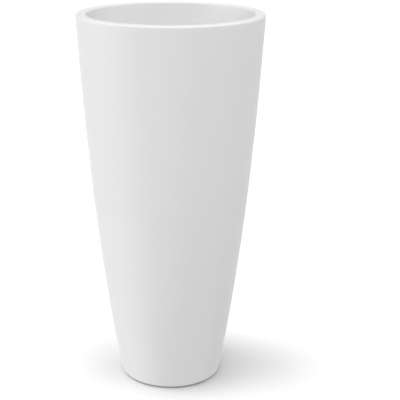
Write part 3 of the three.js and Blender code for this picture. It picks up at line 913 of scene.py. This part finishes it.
def bail_path(side):
    """Pin, bend, arc, bend, pin. A bend is a quadratic curve with its control point on the corner:
    (1 - t)^2 start + 2 t (1 - t) corner + t^2 end. side is -1 for the front bail and 1 for the
    back one."""
    end_angle = math.degrees(math.asin(pivot_y / wire_arc_radius) + WIRE_BEND / wire_arc_radius)
    half_round = arc((0, 0), wire_arc_radius, end_angle, 180 - end_angle, BAIL_STEPS)
    bend_x = wire_corner_x - WIRE_BEND
    start, corner = np.array([bend_x, pivot_y]), np.array([wire_corner_x, pivot_y])
    t = np.linspace(0, 1, BEND_POINTS)[:-1, None]
    bend = (1 - t)**2 * start + 2 * t * (1 - t) * corner + t**2 * half_round[0]
    tip_x = np.linspace(pin_end_x, pin_end_x + WIRE_TIP_LENGTH, TIP_POINTS)
    pin_x = np.append(tip_x, bend_x - WIRE_BEND / 2)
    pin = np.column_stack([pin_x, np.full(len(pin_x), pivot_y)])
    right = np.vstack([pin, bend])
    flat = np.vstack([right, half_round, right[::-1] * [-1, 1]]) * [1, side]
    return np.column_stack([flat, np.full(len(flat), wire_level)])


def bail_scale(path):
    """1 along the wire, falling to the tip's share at each cut end as a quarter circle falls."""
    reach = np.append(0, np.cumsum(np.linalg.norm(np.diff(path, axis=0), axis=1)))
    from_end = np.clip(np.minimum(reach, reach[-1] - reach) / WIRE_TIP_LENGTH, 0, 1)
    return WIRE_TIP_SHARE + (1 - WIRE_TIP_SHARE) * np.sqrt(1 - (1 - from_end)**2)


for name, body, side in (("front", "front_handle", -1), ("back", "back_handle", 1)):
    path = bail_path(side)
    wire_section = ring_section(WIRE_RADIUS, WIRE_SIDES)
    bail_points, bail_faces = carried(path, wire_section, (0, 0, 1), bail_scale(path))
    bail = new_piece(f"bail_{name}", bail_points, bail_faces, [zinc])
    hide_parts(f"handle_{name}")
    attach(bail, body)

# ---- Saddles ----
# A strip of zinc-plated steel on each side, bent into two arches over the pins of both bails. It
# is riveted to the liner's flange between the arches and at both ends.

SADDLE_THICKNESS = 0.0015
SADDLE_EDGE = 0.0004
SADDLE_BEND = 0.0013
ARCH_CLEARANCE = 0.0003
ARCH_STEPS = 24

half_width = (saddle_high.x - saddle_low.x) / 2
half_thickness = SADDLE_THICKNESS / 2
strip_section = rounded([
    (half_width, 0),
    (half_width, half_thickness, SADDLE_EDGE),
    (-half_width, half_thickness, SADDLE_EDGE),
    (-half_width, -half_thickness, SADDLE_EDGE),
    (half_width, -half_thickness, SADDLE_EDGE),
    (half_width, 0),
])[:-1]


def saddle_midline():
    """The middle of the strip in the Y-Z plane: flat feet, and half-round arches over the pins."""
    level = saddle_low.z + half_thickness
    radius = WIRE_RADIUS + ARCH_CLEARANCE + half_thickness
    run = 1.5 * SADDLE_BEND
    stretches = [[(saddle_low.y, level)]]
    for pivot in (-pivot_y, pivot_y):
        left, right = pivot - radius, pivot + radius
        stretches += [
            rounded([(left - run, level), (left, level, SADDLE_BEND), (left, wire_level)]),
            arc((pivot, wire_level), radius, 180, 0, ARCH_STEPS)[1:],
            rounded([(right, wire_level), (right, level, SADDLE_BEND), (right + run, level)])[1:],
        ]
    stretches.append([(saddle_high.y, level)])
    return np.vstack(stretches)


midline = saddle_midline()
for side_name, side in (("left", -1), ("right", 1)):
    strip_path = np.column_stack([np.full(len(midline), side * saddle_x), midline])
    strip_points, strip_faces = carried(strip_path, strip_section, (1, 0, 0))
    strip = new_piece(f"saddle_{side_name}", strip_points, strip_faces, [zinc])
    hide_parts(f"handle_saddle_{side_name}")
    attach(strip, "liner")

# ---- Rivets ----
# Three aluminium rivets through each saddle and the flange: a low domed head above, a set tail
# below.

RIVET_RADIUS = 0.0016
RIVET_TAIL_RADIUS = 0.0026
RIVET_TAIL_HEIGHT = 0.0014
RIVET_HEAD_BRIM = 0.0004
RIVET_EDGE = 0.0002
RIVET_SEGMENTS = 48
DOME_STEPS = 8
ALUMINIUM_DULL = (0.55, 0.55, 0.56, 1)
ALUMINIUM_BRIGHT = (0.72, 0.72, 0.73, 1)
ALUMINIUM_ROUGHNESS = 0.3
ALUMINIUM_MARK_SCALE = 420.0
ALUMINIUM_MARK_HEIGHT = 0.00002


def aluminium_paint(place):
    """Dulled aluminium with small handling marks."""
    marks = place.noise(ALUMINIUM_MARK_SCALE, detail=3.0)
    colour = marks.mixed(ALUMINIUM_DULL, ALUMINIUM_BRIGHT)
    return colour, ALUMINIUM_ROUGHNESS + marks * 0.25, marks * ALUMINIUM_MARK_HEIGHT


rivet_metal = finish("rivet_metal", aluminium_paint, metallic=1.0)


def rivet_profile(low, high):
    """Tail, shank, brim and dome. The dome is a part of a sphere through the brim's edge:
    its radius is (brim^2 + rise^2) / (2 rise)."""
    head_bottom = saddle_low.z + SADDLE_THICKNESS + SEAT_GAP
    brim_top = head_bottom + RIVET_HEAD_BRIM
    head_radius = (high.y - low.y) / 2
    rise = high.z - brim_top
    dome_radius = (head_radius**2 + rise**2) / (2 * rise)
    dome_start = math.degrees(math.asin((dome_radius - rise) / dome_radius))
    dome = arc((0, high.z - dome_radius), dome_radius, dome_start, 90, DOME_STEPS)[:-1]
    tail_top = low.z + RIVET_TAIL_HEIGHT
    body = rounded([
        (0, low.z),
        (RIVET_TAIL_RADIUS, low.z, 2 * RIVET_EDGE),
        (RIVET_TAIL_RADIUS, tail_top, RIVET_EDGE),
        (RIVET_RADIUS, tail_top),
        (RIVET_RADIUS, head_bottom),
        (head_radius, head_bottom),
        tuple(dome[0]),
    ])
    return np.vstack([body, dome[1:], [(0, high.z)]])


for side_name, side in (("left", -1), ("right", 1)):
    for number, y in enumerate(rivet_ys, start=1):
        low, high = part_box(f"handle_rivet_{side_name}_{number}")
        rivet_section = rivet_profile(low, high)
        rivet_points, rivet_faces = turned(rivet_section, RIVET_SEGMENTS, (side * saddle_x, y))
        rivet = new_piece(f"rivet_{side_name}_{number}", rivet_points, rivet_faces, [rivet_metal])
        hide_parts(f"handle_rivet_{side_name}_{number}")
        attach(rivet, "liner")

# ---- Studio ----
# A plain white floor under a white sky. Some broad soft lights shine on the floor alone and others
# on the planter alone, as in a retouched product picture: the planter's shade stays even down to
# the floor, and the floor keeps its soft shadow.

FLOOR_SPAN = 60.0
FLOOR_WHITE = (0.93, 0.93, 0.93, 1)
FLOOR_ROUGHNESS = 0.9
SKY_WHITE = (1, 1, 1, 1)
SKY_IN_GLOSS_LOW = 0.2       # how bright gloss shows the sky, low down and overhead
SKY_IN_GLOSS_HIGH = 0.8
SKY_FADE_START = -0.3        # upward part of the direction, where the sky starts to brighten
SKY_FADE_END = 0.9

half_span = FLOOR_SPAN / 2
floor_corners = half_span * np.array([(-1, -1, 0), (1, -1, 0), (1, 1, 0), (-1, 1, 0)])
floor_finish = finish("floor_white", lambda place: (FLOOR_WHITE, FLOOR_ROUGHNESS, None))
floor = new_piece("floor", floor_corners, [np.array([[0, 1, 2, 3]])], [floor_finish])
floor.visible_diffuse = False
floor.visible_glossy = False

sky = bpy.data.worlds.new("sky")
sky.use_nodes = True
scene.world = sky
sky_start = Socket(sky.node_tree)
seen_directly = sky_start.node("ShaderNodeLightPath", {}, out="Is Camera Ray")
seen_in_gloss = sky_start.node("ShaderNodeLightPath", {}, out="Is Glossy Ray")
direction = sky_start.node("ShaderNodeTexCoord", {}, out="Generated")
overhead = direction.axis("Z").between(SKY_FADE_START, SKY_FADE_END)
in_gloss = seen_in_gloss * (SKY_IN_GLOSS_LOW + overhead * (SKY_IN_GLOSS_HIGH - SKY_IN_GLOSS_LOW))
background = next(node for node in sky.node_tree.nodes if node.type == "BACKGROUND")
background.inputs["Color"].default_value = SKY_WHITE
sky_start.feed(background.inputs["Strength"], seen_directly + in_gloss)
scene.view_settings.view_transform = "Standard"
scene.view_settings.look = "None"

floor_alone = bpy.data.collections.new("floor_alone")
floor_alone.objects.link(floor)
all_but_floor = bpy.data.collections.new("all_but_floor")
all_but_floor.objects.link(floor)
all_but_floor.collection_objects[0].light_linking.link_state = "EXCLUDE"


def soft_light(name, azimuth, elevation, spread, strength, shines_on):
    """A distant soft light. Azimuth is where it stands: 0 in front, 90 right, 180 behind, 270 left.
    The floor takes no light from those for the planter, and doesn't stand in their way."""
    lamp = bpy.data.lights.new(name, "SUN")
    lamp.angle = math.radians(spread)
    lamp.energy = strength
    made = bpy.data.objects.new(name, lamp)
    made.rotation_euler = (math.radians(90 - elevation), 0, math.radians(azimuth))
    made.light_linking.receiver_collection = shines_on
    if shines_on is all_but_floor:
        made.light_linking.blocker_collection = all_but_floor
    scene.collection.objects.link(made)


soft_light("floor_from_left", 270, 65, 40, 1.75, floor_alone)
soft_light("floor_from_top", 0, 90, 20, 1.22, floor_alone)
soft_light("floor_from_right", 60, 80, 24, 0.96, floor_alone)
soft_light("floor_from_behind", 135, 65, 40, 0.45, floor_alone)
soft_light("front_high", 0, 45, 45, 2.05, all_but_floor)
soft_light("right_high", 120, 75, 40, 0.94, all_but_floor)
soft_light("left", 270, 15, 45, 1.40, all_but_floor)
soft_light("right", 90, 15, 45, 0.89, all_but_floor)
soft_light("front_low", 0, -15, 45, 0.76, all_but_floor)
soft_light("behind_right", 135, -15, 45, 0.48, all_but_floor)
soft_light("behind", 180, -15, 45, 0.80, all_but_floor)
soft_light("behind_left", 225, -15, 45, 0.47, all_but_floor)
soft_light("below_left", 270, -50, 60, 0.83, all_but_floor)
soft_light("below_behind", 180, -50, 60, 0.60, all_but_floor)
soft_light("below_right", 90, -50, 60, 0.23, all_but_floor)
